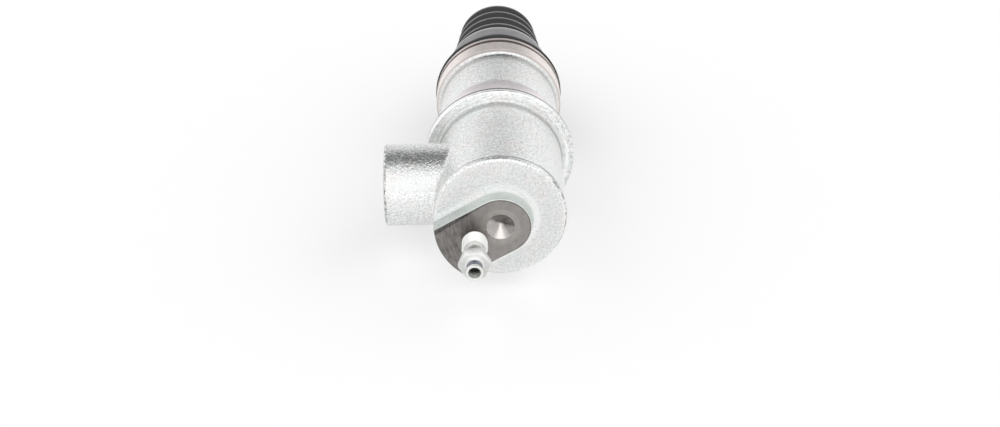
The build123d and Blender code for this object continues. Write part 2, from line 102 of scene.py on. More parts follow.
class SocketValue:
    """One value in a node tree. Arithmetic on it adds Math nodes."""

    def __init__(self, tree, socket):
        self.tree = tree
        self.socket = socket

    def math(self, operation, *others):
        """The value after a Math node's operation."""
        inputs = {0: self}
        for index, other in enumerate(others, start=1):
            inputs[index] = other
        return self.tree.node("ShaderNodeMath", {"operation": operation}, inputs)

    def __add__(self, other):
        return self.math("ADD", other)

    __radd__ = __add__

    def __mul__(self, other):
        return self.math("MULTIPLY", other)

    __rmul__ = __mul__

    def __sub__(self, other):
        return self.math("SUBTRACT", other)

    def __rsub__(self, other):
        return self.tree.node("ShaderNodeMath", {"operation": "SUBTRACT"}, {0: other, 1: self})

    def __pow__(self, other):
        return self.math("POWER", other)

    def __abs__(self):
        return self.math("ABSOLUTE")

    def lesser(self, other):
        """The smaller of two values."""
        return self.math("MINIMUM", other)

    def greater(self, other):
        """The larger of two values."""
        return self.math("MAXIMUM", other)

    def rise(self, start, end):
        """0 up to start and 1 from end on, with a smooth rise between them."""
        return self.tree.node(
            "ShaderNodeMapRange",
            {"interpolation_type": "SMOOTHSTEP"},
            {"Value": self, "From Min": start, "From Max": end},
        )

    def past(self, limit, soft=0.1):
        """0 up to the limit and 1 from soft beyond it on."""
        return self.rise(limit, limit + soft)

    def short_of(self, limit, soft=0.1):
        """1 up to the limit and 0 from soft beyond it on."""
        return 1 - self.past(limit, soft)

    def between(self, low, high, soft=0.05):
        """1 where the value lies between low and high, with soft edges outside them."""
        return self.rise(low - soft, low) * (1 - self.rise(high, high + soft))


class Tree:
    """A node tree whose nodes all come from one method."""

    def __init__(self, tree):
        self.tree = tree
        self.tree.nodes.clear()

    def node(self, kind, settings=None, inputs=None, output=0):
        """Adds a node, sets it up, fills or links its sockets and gives one of its outputs."""
        node = self.tree.nodes.new(kind)
        for key, value in (settings or {}).items():
            setattr(node, key, value)
        for key, value in (inputs or {}).items():
            if isinstance(value, SocketValue):
                self.tree.links.new(value.socket, node.inputs[key])
            else:
                node.inputs[key].default_value = value
        return SocketValue(self, node.outputs[output]) if len(node.outputs) else node

    def parts(self, vector):
        """The x, y and z of a vector."""
        return [self.node("ShaderNodeSeparateXYZ", None, {0: vector}, axis) for axis in "XYZ"]


class Shader(Tree):
    """A procedural material or world."""

    def place(self):
        """The point in millimetres as a vector."""
        return self.scaled(self.node("ShaderNodeTexCoord", output="Object"), 1 / mm)

    def facing(self):
        """The x, y and z of the surface's direction."""
        return self.parts(self.node("ShaderNodeTexCoord", output="Normal"))

    def grain(self, place, size, detail=2.0, roughness=0.5):
        """Noise whose features are about size millimetres across."""
        return self.node(
            "ShaderNodeTexNoise",
            None,
            {"Vector": place, "Scale": 1 / size, "Detail": detail, "Roughness": roughness},
            "Fac",
        )

    def mix(self, factor, first, second):
        """Colour mix: first where factor is 0 and second where it is 1."""
        return self.node(
            "ShaderNodeMix", {"data_type": "RGBA"}, {"Factor": factor, "A": first, "B": second}, "Result"
        )

    def scaled(self, vector, factor):
        """A vector, or a colour without its opacity, times a factor."""
        return self.node(
            "ShaderNodeVectorMath", {"operation": "SCALE"}, {"Vector": vector, "Scale": factor}
        )

    def bump(self, height, depth, below=None):
        """Surface direction bent by a height, whose full rise is depth millimetres."""
        inputs = {"Height": height, "Distance": depth * mm, "Strength": 1.0}
        if below is not None:
            inputs["Normal"] = below
        return self.node("ShaderNodeBump", None, inputs)


def new_shader(name):
    """An empty procedural material."""
    material = bpy.data.materials.new(name)
    material.use_nodes = True
    return material, Shader(material.node_tree)


def surface(shader, **sockets):
    """Ends a material in one Principled surface."""
    names = {key.replace("_", " ").title(): value for key, value in sockets.items()}
    closure = shader.node("ShaderNodeBsdfPrincipled", None, names)
    shader.node("ShaderNodeOutputMaterial", None, {"Surface": closure})


def plain(colour):
    """A colour with full opacity."""
    return (*colour, 1.0)


MERGE_DISTANCE = 1e-6
SHARP = 35
SHARP_RIDGE = 50
NEARLY_STRAIGHT = math.radians(89)


def new_piece(name, mesh, material, sharp=SHARP):
    """A new object at the origin with smooth faces, apart from edges over sharp degrees."""
    shape = bmesh.new()
    shape.from_mesh(mesh)
    bmesh.ops.remove_doubles(shape, verts=shape.verts, dist=MERGE_DISTANCE)
    bmesh.ops.recalc_face_normals(shape, faces=shape.faces)
    shape.to_mesh(mesh)
    shape.free()
    for face in mesh.polygons:
        face.use_smooth = True
    mesh.set_sharp_from_angle(angle=math.radians(sharp))
    mesh.materials.clear()
    mesh.materials.append(material)
    piece = bpy.data.objects.new(name, mesh)
    bpy.context.scene.collection.objects.link(piece)
    return piece


def rounded(corners, steps=4):
    """A closed outline of (radius, y, round) corners with each corner's arc worked out."""
    outline = []
    for index, (radius, y, arc) in enumerate(corners):
        corner = Vector((radius, y))
        before = (Vector(corners[index - 1][:2]) - corner).normalized()
        after = (Vector(corners[(index + 1) % len(corners)][:2]) - corner).normalized()
        half = before.angle(after) / 2
        if not arc or half > NEARLY_STRAIGHT:
            outline.append(corner)
            continue
        centre = corner + (before + after).normalized() * arc / math.sin(half)
        start = corner + before * arc / math.tan(half) - centre
        end = corner + after * arc / math.tan(half) - centre
        sweep = -start.angle_signed(end)
        for step in range(steps + 1):
            outline.append(centre + Matrix.Rotation(sweep * step / steps, 2) @ start)
    return outline


def closely(outline, spacing):
    """The outline with points added so that none of its straight runs is longer than spacing."""
    points = []
    for index, point in enumerate(outline):
        ahead = outline[(index + 1) % len(outline)]
        count = max(1, math.ceil((ahead - point).length / spacing))
        points += [point.lerp(ahead, step / count) for step in range(count)]
    return points


def turned_mesh(name, outline, steps):
    """A closed outline of (radius, y) points turned about the Y axis."""
    mesh = bpy.data.meshes.new(name)
    count = len(outline)
    vertices = []
    faces = []
    for step in range(steps):
        angle = 2 * math.pi * step / steps
        vertices += [(r * math.cos(angle), y, r * math.sin(angle)) for r, y in outline]
        near = step * count
        far = (step + 1) % steps * count
        for i in range(count):
            j = (i + 1) % count
            faces.append((near + i, near + j, far + j, far + i))
    mesh.from_pydata(vertices, [], faces)
    return mesh


def dress(node, material):
    """Gives a CAD node that keeps its shape its material."""
    nodes[node].data.materials.clear()
    nodes[node].data.materials.append(material)


THREAD_SIDES = 4
WIRE_SIDES = 12
COIL_STEPS = 48
PORT_COIL_STEPS = 64
HELIX_INPUTS = {
    "Radius": "Float",
    "Pitch": "Float",
    "Turns": "Float",
    "Half Width": "Float",
    "Stretch": "Float",
    "Sides": "Int",
    "Steps": "Int",
    "Material": "Material",
}


def helix_tree():
    """Geometry Nodes tree: a ridge of even section wound about Z, for threads and coils."""
    group = bpy.data.node_groups.new("wound_ridge", "GeometryNodeTree")
    tree = Tree(group)
    for name, kind in HELIX_INPUTS.items():
        group.interface.new_socket(name, in_out="INPUT", socket_type="NodeSocket" + kind)
    group.interface.new_socket("Geometry", in_out="OUTPUT", socket_type="NodeSocketGeometry")

    def given(name):
        return tree.node("NodeGroupInput", output=name)

    path = tree.node("GeometryNodeCurveSpiral", None, {
        "Resolution": given("Steps"),
        "Rotations": given("Turns"),
        "Start Radius": given("Radius"),
        "End Radius": given("Radius"),
        "Height": given("Pitch") * given("Turns"),
        "Reverse": False,
    })
    level = tree.node("GeometryNodeSetCurveNormal", {"mode": "Z_UP"}, {"Curve": path})
    round_section = tree.node("GeometryNodeCurvePrimitiveCircle", None, {
        "Resolution": given("Sides"), "Radius": given("Half Width"),
    })
    stretch = tree.node("ShaderNodeCombineXYZ", None, {"X": given("Stretch"), "Y": 1.0, "Z": 1.0})
    section = tree.node("GeometryNodeTransform", None, {"Geometry": round_section, "Scale": stretch})
    ridge = tree.node("GeometryNodeCurveToMesh", None, {
        "Curve": level, "Profile Curve": section, "Fill Caps": True,
    })
    real = tree.node("GeometryNodeRealizeInstances", None, {"Geometry": ridge})
    dressed = tree.node("GeometryNodeSetMaterial", None, {"Geometry": real, "Material": given("Material")})
    tree.node("NodeGroupOutput", None, {"Geometry": dressed})
    return group


def wound(name, material, place, **sizes):
    """A wound ridge made by the helix tree, set in place and turned into a plain mesh."""
    group = bpy.data.node_groups.get("wound_ridge") or helix_tree()
    holder = bpy.data.objects.new(name + "_path", bpy.data.meshes.new(name + "_path"))
    bpy.context.scene.collection.objects.link(holder)
    modifier = holder.modifiers.new("ridge", "NODES")
    modifier.node_group = group
    sizes["Material"] = material
    for item in group.interface.items_tree:
        if item.in_out == "INPUT":
            modifier[item.identifier] = sizes[item.name.replace(" ", "_")]
    holder.update_tag()
    evaluated = holder.evaluated_get(bpy.context.evaluated_depsgraph_get())
    mesh = bpy.data.meshes.new_from_object(evaluated)
    holder.modifiers.remove(modifier)
    bpy.data.objects.remove(holder)
    mesh.transform(place)
    return new_piece(name, mesh, material, SHARP_RIDGE)


class CastingLook(bpy.types.PropertyGroup):
    """Finish of the iron casting."""

    cast_colour: bpy.props.FloatVectorProperty(
        name="Plated casting", description="Zinc plate on the rough casting",
        subtype="COLOR", size=3, min=0, max=1, default=(0.845, 0.868, 0.858),
    )
    warm_colour: bpy.props.FloatVectorProperty(
        name="Warm patches", description="Patches of the plate with a warmer tone",
        subtype="COLOR", size=3, min=0, max=1, default=(0.868, 0.858, 0.855),
    )
    land_colour: bpy.props.FloatVectorProperty(
        name="Turned lands", description="Machined register, flange seat and neck",
        subtype="COLOR", size=3, min=0, max=1, default=(0.540, 0.495, 0.480),
    )
    pilot_colour: bpy.props.FloatVectorProperty(
        name="Turned pilot", description="Machined pilot behind the flange",
        subtype="COLOR", size=3, min=0, max=1, default=(0.600, 0.562, 0.575),
    )
    pad_colour: bpy.props.FloatVectorProperty(
        name="Milled pad", description="Bare iron of the milled pad, port face and bores",
        subtype="COLOR", size=3, min=0, max=1, default=(0.275, 0.258, 0.246),
    )
    # Centre mark's colour, which the centre face lightens into a painted highlight in a wedge below and darkens
    # with painted shade above
    centre_colour: bpy.props.FloatVectorProperty(
        name="Centre mark", description="Clean iron in the drilled centre mark",
        subtype="COLOR", size=3, min=0, max=1, default=(0.70, 0.66, 0.64),
    )
    wall_colour: bpy.props.FloatVectorProperty(
        name="Pad wall", description="Greyer plate on the wall round the milled pad",
        subtype="COLOR", size=3, min=0, max=1, default=(0.660, 0.705, 0.680),
    )
    # Dark colour for dirt in pits and chips, and for painted shade in corners, the groove and behind the head's
    # rim
    dirt_and_shade_colour: bpy.props.FloatVectorProperty(
        name="Dirt", description="Dark dirt in corners, pits and chips",
        subtype="COLOR", size=3, min=0, max=1, default=(0.085, 0.085, 0.075),
    )
    grain_size: bpy.props.FloatProperty(
        name="Sand grain", description="Width of the casting's grain in millimetres",
        default=0.8, min=0.1, max=5,
    )
    grain_depth: bpy.props.FloatProperty(
        name="Grain depth", description="Depth of the casting's grain in millimetres",
        default=0.23, min=0, max=2,
    )


class ScrewLook(bpy.types.PropertyGroup):
    """Form and finish of the bleed screw's thread and the other plated steel."""

    plate_colour: bpy.props.FloatVectorProperty(
        name="Bright zinc", description="Zinc plate on smooth steel",
        subtype="COLOR", size=3, min=0, max=1, default=(0.86, 0.87, 0.85),
    )
    # Painted shade in the bleed screw's hole
    hole_shade_colour: bpy.props.FloatVectorProperty(
        name="Hole", description="Old fluid and dirt in the bleed screw's hole",
        subtype="COLOR", size=3, min=0, max=1, default=(0.030, 0.034, 0.028),
    )
    # Painted blue-grey shade behind the barb
    neck_shade_colour: bpy.props.FloatVectorProperty(
        name="Neck", description="Blue-grey stain behind the barb",
        subtype="COLOR", size=3, min=0, max=1, default=(0.16, 0.17, 0.24),
    )
    crest_radius: bpy.props.FloatProperty(
        name="Thread crest", description="Outer radius of the screw's thread",
        subtype="DISTANCE", unit="LENGTH", default=0.005,
    )
    root_radius: bpy.props.FloatProperty(
        name="Thread root", description="Radius at the bottom of the screw's thread",
        subtype="DISTANCE", unit="LENGTH", default=0.0044,
    )
    pitch: bpy.props.FloatProperty(
        name="Thread pitch", description="Rise of the screw's thread in one turn",
        subtype="DISTANCE", unit="LENGTH", default=0.001,
    )
    proud: bpy.props.FloatProperty(
        name="Thread outside", description="Length of thread that stands out of the pad",
        subtype="DISTANCE", unit="LENGTH", default=0.0063,
    )
    seated: bpy.props.FloatProperty(
        name="Thread inside", description="Length of thread inside the casting",
        subtype="DISTANCE", unit="LENGTH", default=0.006,
    )
    port_pitch: bpy.props.FloatProperty(
        name="Port thread pitch", description="Rise of the fluid port's thread in one turn",
        subtype="DISTANCE", unit="LENGTH", default=0.0015,
    )


class BootForm(bpy.types.PropertyGroup):
    """Form and finish of the rubber boot."""

    rubber_colour: bpy.props.FloatVectorProperty(
        name="Rubber", description="Black moulded rubber",
        subtype="COLOR", size=3, min=0, max=1, default=(0.020, 0.020, 0.021),
    )
    # Grey dust and painted sheen on the faces that stand outwards
    dust_and_sheen_colour: bpy.props.FloatVectorProperty(
        name="Bloom", description="Grey bloom and dust on the faces that stand outwards",
        subtype="COLOR", size=3, min=0, max=1, default=(0.28, 0.274, 0.28),
    )
    # Up to this distance from the shoulder the rubber stays dark as painted shade
    dust_and_sheen_start: bpy.props.FloatProperty(
        name="Bloom start", description="Distance from the shoulder to where the bloom begins",
        subtype="DISTANCE", unit="LENGTH", default=0.0122,
    )
    wall: bpy.props.FloatProperty(
        name="Wall", description="Thickness of the rubber, measured across the axis",
        subtype="DISTANCE", unit="LENGTH", default=0.0019,
    )
    neck_radius: bpy.props.FloatProperty(
        name="Neck", description="Radius of the casting's neck inside the sleeve",
        subtype="DISTANCE", unit="LENGTH", default=0.020,
    )
    bead_radius: bpy.props.FloatProperty(
        name="Bead", description="Radius at the bottom of the neck's groove for the boot's bead",
        subtype="DISTANCE", unit="LENGTH", default=0.019,
    )
    bead_setback: bpy.props.FloatProperty(
        name="Bead setback", description="Distance from the shoulder to the bead",
        subtype="DISTANCE", unit="LENGTH", default=0.001,
    )
    bead_width: bpy.props.FloatProperty(
        name="Bead width", description="Length of the bead along the axis",
        subtype="DISTANCE", unit="LENGTH", default=0.002,
    )
    lip_swell: bpy.props.FloatProperty(
        name="Lip swell", description="How far the soft lip swells past its unloaded radius",
        subtype="DISTANCE", unit="LENGTH", default=0.0005,
    )
    lip_length: bpy.props.FloatProperty(
        name="Lip", description="Length of the lip that lies on the shoulder",
        subtype="DISTANCE", unit="LENGTH", default=0.0024,
    )
    sleeve_length: bpy.props.FloatProperty(
        name="Sleeve", description="From the shoulder to the middle of the sleeve's edge",
        subtype="DISTANCE", unit="LENGTH", default=0.0201,
    )
    crest_radius: bpy.props.FloatProperty(
        name="First crest", description="Radius of the first fold beyond the sleeve",
        subtype="DISTANCE", unit="LENGTH", default=0.0199,
    )
    crest_step: bpy.props.FloatProperty(
        name="Crest step", description="How much smaller each fold is than the one before it",
        subtype="DISTANCE", unit="LENGTH", default=0.001,
    )
    crest_pitch: bpy.props.FloatProperty(
        name="Fold pitch", description="Distance from one fold to the next",
        subtype="DISTANCE", unit="LENGTH", default=0.0085,
    )
    crest_land: bpy.props.FloatProperty(
        name="Crest land", description="Width of each fold's flat crest and valley",
        subtype="DISTANCE", unit="LENGTH", default=0.001,
    )
    fold_depth: bpy.props.FloatProperty(
        name="Fold depth", description="Depth of the folds",
        subtype="DISTANCE", unit="LENGTH", default=0.0038,
    )
    folds: bpy.props.IntProperty(
        name="Folds", description="Number of crests beyond the sleeve's edge", default=4, min=2,
    )
    end_wall: bpy.props.FloatProperty(
        name="End wall", description="Thickness of the wall at the small end",
        subtype="DISTANCE", unit="LENGTH", default=0.0016,
    )
    grip_radius: bpy.props.FloatProperty(
        name="Grip hole", description="Radius of the hole that grips the pushrod",
        subtype="DISTANCE", unit="LENGTH", default=0.00408,
    )
    grip_wall: bpy.props.FloatProperty(
        name="Grip wall", description="Thickness of the collar that grips the pushrod",
        subtype="DISTANCE", unit="LENGTH", default=0.0025,
    )


class SpringForm(bpy.types.PropertyGroup):
    """Form of the return spring, whose length and width come from the frame."""

    wire: bpy.props.FloatProperty(
        name="Wire", description="Thickness of the spring's wire",
        subtype="DISTANCE", unit="LENGTH", default=0.0017,
    )
    turns: bpy.props.IntProperty(
        name="Turns", description="Number of the spring's turns", default=7, min=1,
    )


class StageSetup(bpy.types.PropertyGroup):
    """Camera, floor and light."""

    lens: bpy.props.FloatProperty(
        name="Lens", description="Focal length in millimetres on a 36 mm sensor",
        default=72, min=10, max=300,
    )
    pitch: bpy.props.FloatProperty(
        name="Pitch", description="How far the camera looks down",
        subtype="ANGLE", default=math.radians(30), min=0, max=math.pi / 2,
    )
    roll: bpy.props.FloatProperty(
        name="Roll", description="How far the picture is turned counterclockwise",
        subtype="ANGLE", default=math.radians(0.9), min=-0.2, max=0.2,
    )
    camera_place: bpy.props.FloatVectorProperty(
        name="Camera", description="Where the camera stands", subtype="TRANSLATION", unit="LENGTH",
        size=3, default=(-0.00015, -0.7615, 0.3847),
    )
    surround: bpy.props.FloatProperty(
        name="Surround", description="Brightness of the white room", default=1.03, min=0, max=5,
    )
    soft_box: bpy.props.FloatProperty(
        name="Soft box", description="Extra brightness of the soft box above the camera",
        default=0.27, min=0, max=5,
    )
    ceiling_gap: bpy.props.FloatProperty(
        name="Ceiling gap", description="How much darker the gap behind the soft box is",
        default=0.96, min=0, max=1,
    )
    back_shade: bpy.props.FloatProperty(
        name="Back shade", description="How much darker the room is behind the object",
        default=0.20, min=0, max=1,
    )
    floor_white: bpy.props.FloatProperty(
        name="Floor white", description="Share of the floor's look that is plain white",
        default=0.24, min=0, max=1,
    )
    floor_glow: bpy.props.FloatProperty(
        name="Floor glow", description="Brightness of the floor's white share",
        default=1.56, min=0, max=3,
    )


# The casting in millimetres, as the frame gives it
land = land_radius / mm
flange_y = flange_back / mm
pad_y = pad_face / mm
port_x = body_low.x / mm
shoulder_y = shoulder / mm

# Radii in millimetres at which the casting's finish changes
CENTRE_MARK = (4.9, 5.7)
CENTRE_HALO = (5.6, 7.2)
BLEED_MOUTH = 5.3
PORT_MOUTH = 7.3
PORT_RIM = (15.2, 15.6)
BORE_MOUTH = 16.4
PILOT = (23.0, 26.6)
HEAD_CORNER = (24.8, 25.3)
RIM_SHADE_RADII = (24.9, 25.2)
# Radii of the painted shade in the corners at the flange's and the collar's feet
FLANGE_FOOT = (24.9, 26.2)
COLLAR_FOOT = (24.2, 25.6)
FLANGE_FRONT = (25.3, 26.0)
FLANGE_SEAT = 26.3
FLANGE_WORN = (27.6, 28.6)
FLANGE_RIM = (29.0, 29.3)
NECK = (23, 23.5)
LAND_DEPTH = 1.6
# Reach of the painted highlight on the crown round the pad's wall
PAD_RIM = (12.9, 14.4)
PAD_MARGIN = (11.5, 12.5)

# Stations in millimetres along the axis, or across it for the port
WALL_END = (-101.2, -100.2)
CROWN_END = (-98.6, -97.8)
CHIPS_Y = (-98.9, -96.2)
RIM_SHADE_Y = (-96.6, -94.7)
WIDE_RIM_SHADE_Y = (-96.6, -93.4)
BLEED_HOLE_END = -90.1
BORE_END = -83.5
FLANGE_FOOT_Y = (-53.0, -49.8)
FLANGE_FRONT_Y = -50.5
FLANGE_RIM_Y = -50.2
PILOT_LENGTH = 16.2
COLLAR_FOOT_Y = (-7.6, -4.9)
LAND_Y = (-3.85, 8.0)
LAND_EDGE_Y = (-4.0, -3.5)
GROOVE_Y = (3.9, 5.7)
PAD_SKIN = 4.0
PORT_END = -20.1
PORT_SIDE = (-27.0, -22.0)
PORT_TOP_Z = (6.0, 11.5)
EDGE = 0.05


class CastingPoint:
    """Where a point lies on the casting in millimetres, with the masks and noise that finishes share."""

    def __init__(self, shader, grain_size):
        self.place = shader.place()
        self.x, self.y, self.z = x, y, z = shader.parts(self.place)
        self.radius = radius = (x * x + z * z) ** 0.5
        self.port_reach = ((y - port_y / mm) ** 2 + z * z) ** 0.5
        self.grain = shader.grain(self.place, grain_size, 2, 0.55)
        self.fine = shader.grain(self.place, grain_size / 2.2, 2, 0.6)
        self.coarse = shader.grain(self.place, grain_size * 3.5, 2)
        self.smear = shader.grain(self.place, 2.2, 3)

        # Turned faces, then the bores, the port's end and the milled pad
        self.lands = radius.past(land - LAND_DEPTH) * y.between(*LAND_Y)
        self.pilot = radius.between(*PILOT) * y.between(flange_y - EDGE, flange_y + PILOT_LENGTH, 3.4)
        seat = radius.past(FLANGE_SEAT, 0.2) * y.between(flange_y - EDGE, flange_y + 0.3)
        neck = y.past(shoulder_y, EDGE)
        self.turned = self.lands.greater(self.pilot).greater(seat).greater(neck)
        bore = radius.short_of(BORE_MOUTH) * y.past(BORE_END)
        port_hole = self.port_reach.short_of(PORT_MOUTH) * x.short_of(PORT_END)
        port_end = x.short_of(port_x + EDGE, EDGE)
        bleed_reach = ((x - screw_x / mm) ** 2 + (z - screw_z / mm) ** 2) ** 0.5
        bleed_hole = bleed_reach.short_of(BLEED_MOUTH) * y.short_of(BLEED_HOLE_END)
        self.pad = y.short_of(pad_y + EDGE, EDGE)
        self.near_pad = y.short_of(pad_y + PAD_SKIN)
        self.centre = (1 - radius.rise(*CENTRE_MARK)) * self.near_pad
        self.bare = bore.greater(port_hole).greater(port_end).greater(bleed_hole).greater(self.pad)
        self.machined = self.bare.greater(self.turned).greater(self.centre)

        # The rounded crown of the head, the pad's drafted wall and the distance from the pad's middle line
        self.crown = 1 - y.rise(*CROWN_END)
        self.wall = 1 - y.rise(*WALL_END)
        self.port_side = 1 - x.rise(*PORT_SIDE)
        to_screw = Vector((screw_x, screw_z)).normalized()
        along = x * to_screw.x + z * to_screw.y
        across = x * to_screw.y - z * to_screw.x
        self.pad_reach = (along.lesser(0) ** 2 + across * across) ** 0.5
        self.sides = abs(x).rise(5.0, 21.0)


def rough_plate(shader, look, at):
    """Colour of the plate on the rough casting, which is greyer on the pad's wall, with painted light on the
    flange's front face, a painted highlight on the crown round the pad's wall and painted shade under the port.
    """
    patches = shader.grain(at.place, 9.0, 2).rise(0.42, 0.62)
    plate = shader.mix(patches, plain(look.cast_colour), plain(look.warm_colour))
    # Painted light on the flange's front face, a painted highlight on the crown round the pad's wall, and painted
    # shade under the port
    flange_front_light = at.radius.rise(*FLANGE_FRONT) * at.y.between(FLANGE_FRONT_Y, flange_y - 0.5)
    pad_rim_highlight = at.crown * (1 - at.wall) * at.pad_reach.between(*PAD_RIM, 1.8)
    port_under_shade = at.port_side * (1 - at.z.rise(-7, 1))
    speckle = 0.26 * at.grain.rise(0.36, 0.64) + 0.18 * at.fine.rise(0.36, 0.64) - 0.22
    speckle = speckle * (1 - 0.45 * at.crown - 0.35 * pad_rim_highlight)
    tone = 1.01 + speckle + 0.13 * flange_front_light - 0.13 * at.crown + 0.15 * pad_rim_highlight - 0.10 * port_under_shade
    wall_tone = 1.02 - 0.2 * (1 - at.x.rise(-17, -9))
    return shader.mix(
        at.wall * 0.85, shader.scaled(plate, tone), shader.scaled(look.wall_colour, wall_tone)
    )


def turned_faces(shader, look, at, passes):
    """Colour of the turned register, pilot, flange seat and neck, with a painted sheen that brightens them towards
    both sides.
    """
    near_seat = at.pilot * (1 - at.y.rise(flange_y + 9.0, flange_y + 12.0))
    tone = 0.80 + 0.1 * passes + 0.26 * at.smear + 0.16 * near_seat
    # Painted sheen towards both sides of the register and the pilot
    tone = tone + 0.58 * at.sides * at.lands + 0.42 * at.sides * at.pilot
    colour = shader.mix(at.pilot, plain(look.land_colour), plain(look.pilot_colour))
    return shader.scaled(colour, tone)


def bare_faces(shader, look, at, rings, milling, milled_side):
    """Colour of the milled pad, the port's end and the bores, darker along the pad's margin."""
    near_screw = (1 - (((at.x + 7.5) ** 2 + (at.z - 2.5) ** 2) ** 0.5).rise(3.0, 7.0)) * at.pad
    halo = at.radius.between(*CENTRE_HALO, 0.8) * at.pad
    margin = at.pad_reach.between(*PAD_MARGIN, 0.5) * at.pad
    tone = 0.76 + 0.30 * milling + 0.10 * rings + 0.60 * at.smear + 0.12 * near_screw + 0.2 * halo
    tone = tone - 0.50 * milled_side - 0.42 * margin
    return shader.scaled(look.pad_colour, tone)


def centre_face(shader, look, at):
    """Colour of the centre mark, with painted shade on its upper side and a painted highlight in a wedge below."""
    turn = at.z.math("ARCTAN2", at.x)
    # A painted highlight in the wedge below, and painted shade on the upper side
    wedge = abs(turn + math.radians(92)).rise(math.radians(6), math.radians(32))
    upper_shade = (turn - math.radians(5)).rise(-0.25, 0.1) * (1 - turn.rise(2.2, 2.7))
    tone = 1.14 - 0.50 * wedge - 0.42 * upper_shade + 0.3 * (at.smear - 0.5)
    return shader.scaled(look.centre_colour, tone)


def casting_dirt_and_shade(shader, at):
    """How dark the rough casting and its turned faces are made: dirt in chips, specks and worn edges, dark lines
    along the flange's back edge and the land's front edge, painted shade in the corners at the flange's and
    collar's feet, in the groove and behind the head's rim, and a painted dark reflection in a band on the port's
    top.
    """
    x, y, z, radius = at.x, at.y, at.z, at.radius
    rough = shader.grain(at.place, 0.9, 2).rise(0.45, 0.57)
    chips = radius.rise(*HEAD_CORNER) * y.between(*CHIPS_Y, 0.3) * rough * (x * 0.8 - z).rise(-8, 6)
    # Painted shade in a line behind the head's rim, wider on the right and broken by grain
    rim_shade = y.between(*RIM_SHADE_Y, 0.35).greater(y.between(*WIDE_RIM_SHADE_Y, 0.5) * x.rise(11, 19))
    rim_shade = rim_shade * radius.between(*RIM_SHADE_RADII) * (0.55 + 0.45 * rough)
    lip = radius.rise(*FLANGE_RIM) * y.between(flange_y - 1.1, flange_y + 0.1, 0.2)
    # Painted shade in the corners at the foot of the flange and of the collar, broken by grain
    flange_foot_shade = radius.between(*FLANGE_FOOT, 0.8) * y.between(*FLANGE_FOOT_Y, 1.8) * (0.12 + 0.38 * at.grain)
    collar_foot_shade = radius.between(*COLLAR_FOOT, 0.4) * y.between(*COLLAR_FOOT_Y, 1.6)
    collar_foot_shade = collar_foot_shade * (0.1 + 0.36 * at.grain)
    # Painted shade in the circlip groove, deeper towards both sides
    groove = (1 - radius.rise(land - 1.0, land - 0.7)) * y.between(*GROOVE_Y, 0.1) * radius.rise(*NECK)
    land_edge = radius.past(land - 0.7, 0.2) * y.between(*LAND_EDGE_Y, 0.15)
    # Painted dark reflection in a grainy band along the port's top
    port_top_shade = at.port_side * z.between(*PORT_TOP_Z, 2.0) * at.grain.rise(0.4, 0.6)
    port_edge = at.port_reach.rise(*PORT_RIM) * x.short_of(port_x + 0.8, 0.3) * rough
    flange_wear = radius.rise(*FLANGE_WORN) * y.between(FLANGE_RIM_Y, flange_y) * x.rise(16, 26)
    flange_wear = flange_wear * (0.14 + 0.5 * rough * at.grain)
    specks = shader.grain(at.place, 0.75, 1).rise(0.66, 0.74) * at.coarse.rise(0.46, 0.60)
    dirt_and_shade = chips.greater(rim_shade).greater(lip * 1.1).greater(flange_foot_shade).greater(collar_foot_shade).greater(flange_wear)
    dirt_and_shade = dirt_and_shade.greater(groove * (0.2 + 0.4 * at.sides)).greater(land_edge * 0.4).greater(port_top_shade * 0.22)
    return dirt_and_shade.greater(port_edge * 0.8).greater(specks * 0.55) * 0.85


def cast_iron():
    """Zinc-plated sand casting with turned and milled faces, told apart by where they lie."""
    look = bpy.context.scene.casting_look
    material, shader = new_shader("cast_zinc")
    at = CastingPoint(shader, look.grain_size)

    # Cutting marks: rings round the centre mark, passes along the axis and milling strokes on the pad
    rings = ((at.radius * 12 + 3 * at.smear).math("SINE") * 0.5 + 0.5) * at.near_pad
    passes = ((at.y * 15 + at.grain).math("SINE") * 0.5 + 0.5) * (1 - at.near_pad)
    sweep = ((at.x - 24) ** 2 + (at.z - 6) ** 2) ** 0.5
    scored = shader.grain(at.place, 6.0, 2)
    milled_side = 1 - (at.x + at.z * 0.35).rise(-10.0, -7.5)
    strokes = shader.node("ShaderNodeCombineXYZ", None, {"X": sweep, "Y": at.z * 0.12, "Z": scored * 0.3})
    milling = shader.grain(strokes, 0.55, 2, 0.6).rise(0.35, 0.65) * milled_side * at.pad

    colour = shader.mix(
        at.turned, rough_plate(shader, look, at), turned_faces(shader, look, at, passes)
    )
    # Darken with dirt and with painted shade where the casting is not bare
    colour = shader.mix(casting_dirt_and_shade(shader, at) * (1 - at.bare), colour, plain(look.dirt_and_shade_colour))
    colour = shader.mix(at.bare, colour, bare_faces(shader, look, at, rings, milling, milled_side))
    colour = shader.mix(at.centre, colour, centre_face(shader, look, at))
    rough_height = (0.8 * at.coarse + at.grain + 0.4 * at.fine) * (1 - at.machined) * (1 - 0.3 * at.crown)
    marks = (rings * 0.5 + passes * 0.5 + milling + 0.6 * at.smear) * at.machined
    surface(
        shader,
        base_color=colour,
        metallic=0.92,
        roughness=0.17 + 0.14 * at.fine + 0.12 * at.bare,
        normal=shader.bump(marks, 0.012, shader.bump(rough_height, look.grain_depth)),
    )
    return material


# The bleed screw in millimetres: radii from its own axis, and distances from its open end
SCREW_HOLE = (2.20, 2.32)
SCREW_NECK = (2.5, 3.0)
SCREW_HEXAGON = (3.6, 3.8)
SCREW_NECK_Y = (1.6, 5.2)
SCREW_HEXAGON_Y = (4.9, 9.3)


